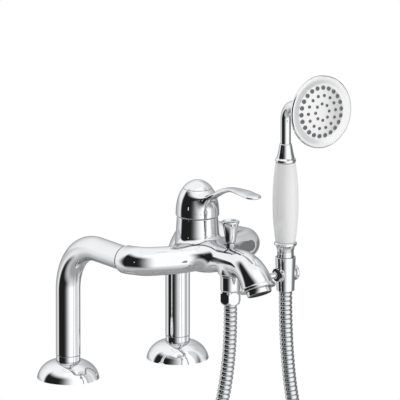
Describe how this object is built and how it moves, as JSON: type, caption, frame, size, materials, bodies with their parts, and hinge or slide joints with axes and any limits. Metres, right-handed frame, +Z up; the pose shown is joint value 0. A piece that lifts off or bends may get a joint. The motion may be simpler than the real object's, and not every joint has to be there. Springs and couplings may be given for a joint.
{
  "type": "bath shower mixer",
  "caption": "Two-leg bath shower mixer with a single lever, a pull-up diverter, a down-turned spout and a white-handled hand shower on a ribbed hose in a tilting cradle.",
  "frame": {"origin": "on the deck plane, midway between the axes of the two inlet legs", "axes": "+Z up from the deck, -Y forward along the spout, +X towards the hand shower's side"},
  "size_m": [0.2475, 0.3138, 0.6832],
  "materials": {
    "chrome": "polished chrome plate on brass",
    "brass": "turned brass",
    "black_rubber": "matt rubber",
    "valve_ceramic": "lapped alumina",
    "white_plastic": "moulded plastic",
    "dark_plastic": "moulded plastic",
    "steel": "turned steel",
    "grip_ceramic": "white glaze",
    "face_plastic": "white gloss",
    "nozzle_rubber": "grey silicone",
    "hose_metal": "ribbed chromed metal hose"
  },
  "bodies": {
    "base": {"foot_cover_left": "chrome", "foot_cover_right": "chrome", "inlet_bush_left": "chrome", "inlet_bush_right": "chrome", "leg_tube_left": "chrome", "leg_tube_right": "chrome", "union_nipple_left": "brass", "union_nipple_right": "brass", "union_seal_left": "black_rubber", "union_seal_right": "black_rubber", "mixer_body": "chrome", "cartridge_case": "white_plastic", "cartridge_seal": "black_rubber", "fixed_disc": "valve_ceramic", "retaining_nut": "brass", "aerator_shell": "chrome", "aerator_insert": "dark_plastic", "aerator_seal": "black_rubber", "diverter_gland": "chrome", "outlet_stub": "chrome", "check_valve": "white_plastic", "hose_nut": "chrome", "hose_washer": "black_rubber", "hose_tail": "brass", "hose_fall": "hose_metal", "hose_coil": "hose_metal", "hose_rise": "hose_metal", "hose_tie": "black_rubber", "bracket_arm": "chrome", "friction_ring": "black_rubber"},
    "cartridge_rotor": {"rotor": "white_plastic", "pivot_pin": "steel"},
    "handle": {"lever_handle": "chrome", "handle_screw": "steel", "handle_top_cap": "chrome", "stem": "brass"},
    "valve_disc": {"moving_disc": "valve_ceramic"},
    "diverter": {"diverter_knob": "chrome", "diverter_rod": "steel", "diverter_valve": "brass", "diverter_seal": "black_rubber"},
    "cradle": {"cradle_sleeve": "chrome", "cradle_liner": "dark_plastic", "cradle_cap": "chrome"},
    "handset": {"hose_cone": "chrome", "cone_washer": "black_rubber", "lower_ferrule": "chrome", "grip": "grip_ceramic", "core_tube": "steel", "upper_ferrule": "chrome", "neck": "chrome", "head_shell": "chrome", "head_rim": "chrome", "face_plate": "face_plastic", "nozzles": "nozzle_rubber", "face_seal": "black_rubber"}
  },
  "joints": [
    {"name": "temperature_turn", "type": "hinge", "parent": "base", "child": "cartridge_rotor", "pos_m": [0, -0.1435, 0.197], "axis": [0, 0, 1], "range_deg": [-30, 30]},
    {"name": "lever_lift", "type": "hinge", "parent": "cartridge_rotor", "child": "handle", "pos_m": [0, -0.1435, 0.197], "axis": [-1, 0, 0], "range_deg": [0, 20]},
    {"name": "disc_slide", "type": "slide", "parent": "cartridge_rotor", "child": "valve_disc", "axis": [0, -1, 0], "range_m": [0, 0.0032]},
    {"name": "diverter_pull", "type": "slide", "parent": "base", "child": "diverter", "axis": [0, 0, 1], "range_m": [0, 0.009]},
    {"name": "cradle_tilt", "type": "hinge", "parent": "base", "child": "cradle", "pos_m": [0.0752, -0.2065, 0.1406], "axis": [1, 0, 0], "range_deg": [-25, 10], "deforming": ["hose_rise"]},
    {"name": "handset_lift", "type": "slide", "parent": "cradle", "child": "handset", "axis": [0, 0, 1], "range_m": [0, 0.045], "deforming": ["hose_rise"]}
  ],
  "couplings": [
    {"joint": "disc_slide", "follows": "lever_lift", "m_per_rad": 0.009}
  ]
}
